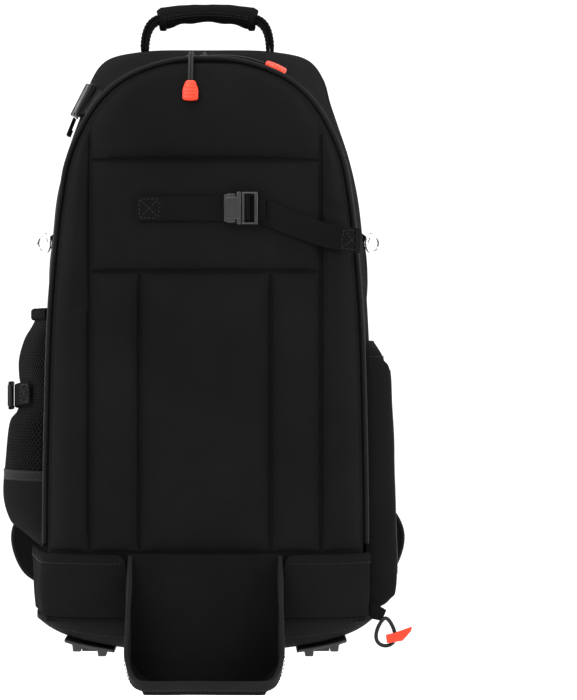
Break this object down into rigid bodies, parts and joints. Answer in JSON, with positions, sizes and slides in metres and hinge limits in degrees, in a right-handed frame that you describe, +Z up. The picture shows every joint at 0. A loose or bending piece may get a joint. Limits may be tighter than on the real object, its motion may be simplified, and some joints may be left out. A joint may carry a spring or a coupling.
{
  "type": "camera backpack",
  "caption": "Large padded camera backpack with a quilted front, lash strap and buckle, open pouch under the base, mesh and zipped side pockets, carrying handle and harness",
  "frame": {"origin": "the middle of the back panel's outer face, where the bag sits on the wearer's back; the plane under the feet is 260 mm below it", "axes": "+Z up along the bag's height, +Y out of the back panel towards the wearer, +X from the mesh pocket's side to the zipped pocket's side"},
  "size_m": [0.348, 0.3056, 0.582],
  "materials": {
    "body_cloth": "black twill-weave polyester",
    "base_cloth": "smoother coated black cloth",
    "webbing": "black ribbed webbing",
    "mesh": "black open diamond mesh and cloth",
    "piping": "black satin piping",
    "back_cloth": "black air mesh over foam",
    "buckle_plastic": "black moulded acetal",
    "foot_plastic": "dark grey moulded feet",
    "orange_rubber": "orange moulded soft plastic",
    "cord": "black braided cord",
    "ring_metal": "plated steel wire"
  },
  "bodies": {
    "root": {"back_panel": "back_cloth", "side_wall_left": "body_cloth", "top_wall": "body_cloth", "side_wall_right": "body_cloth", "base_panel": "base_cloth", "front_cover_low": "body_cloth", "front_cover_high": "body_cloth", "front_panel_top": "body_cloth", "front_panel_middle": "body_cloth", "front_panel_low_left": "body_cloth", "front_panel_low_centre": "body_cloth", "front_panel_low_right": "body_cloth", "front_strip_left": "body_cloth", "front_strip_right": "body_cloth", "piping": "piping", "boot_left": "body_cloth", "boot_right": "body_cloth", "mesh_pocket": "mesh", "mesh_pocket_hem": "webbing", "side_strap": "webbing", "side_strap_slider": "buckle_plastic", "zip_pocket": "body_cloth", "lash_strap_left": "webbing", "lash_strap_right": "webbing", "lash_buckle_socket": "buckle_plastic", "lash_buckle_plug": "buckle_plastic", "pouch": "body_cloth", "foot_left": "foot_plastic", "foot_right": "foot_plastic", "handle_grip": "webbing", "handle_leg_left": "webbing", "handle_leg_right": "webbing", "shoulder_strap_left": "back_cloth", "strap_tail_left": "webbing", "harness_ring_left": "ring_metal", "waist_wing_left": "back_cloth", "shoulder_strap_right": "back_cloth", "strap_tail_right": "webbing", "harness_ring_right": "ring_metal", "waist_wing_right": "back_cloth", "upper_strap_back": "webbing", "upper_strap_front": "webbing", "upper_buckle": "buckle_plastic", "upper_strap_tail": "webbing", "zip_slider_left": "buckle_plastic", "zip_slider_right": "buckle_plastic", "pull_cord_left": "cord", "pull_grip_left": "orange_rubber", "pull_cord_right": "cord", "pull_grip_right": "orange_rubber", "pocket_tab": "webbing", "pocket_pull_loop": "cord", "pocket_pull_tag": "orange_rubber"}
  },
  "joints": []
}
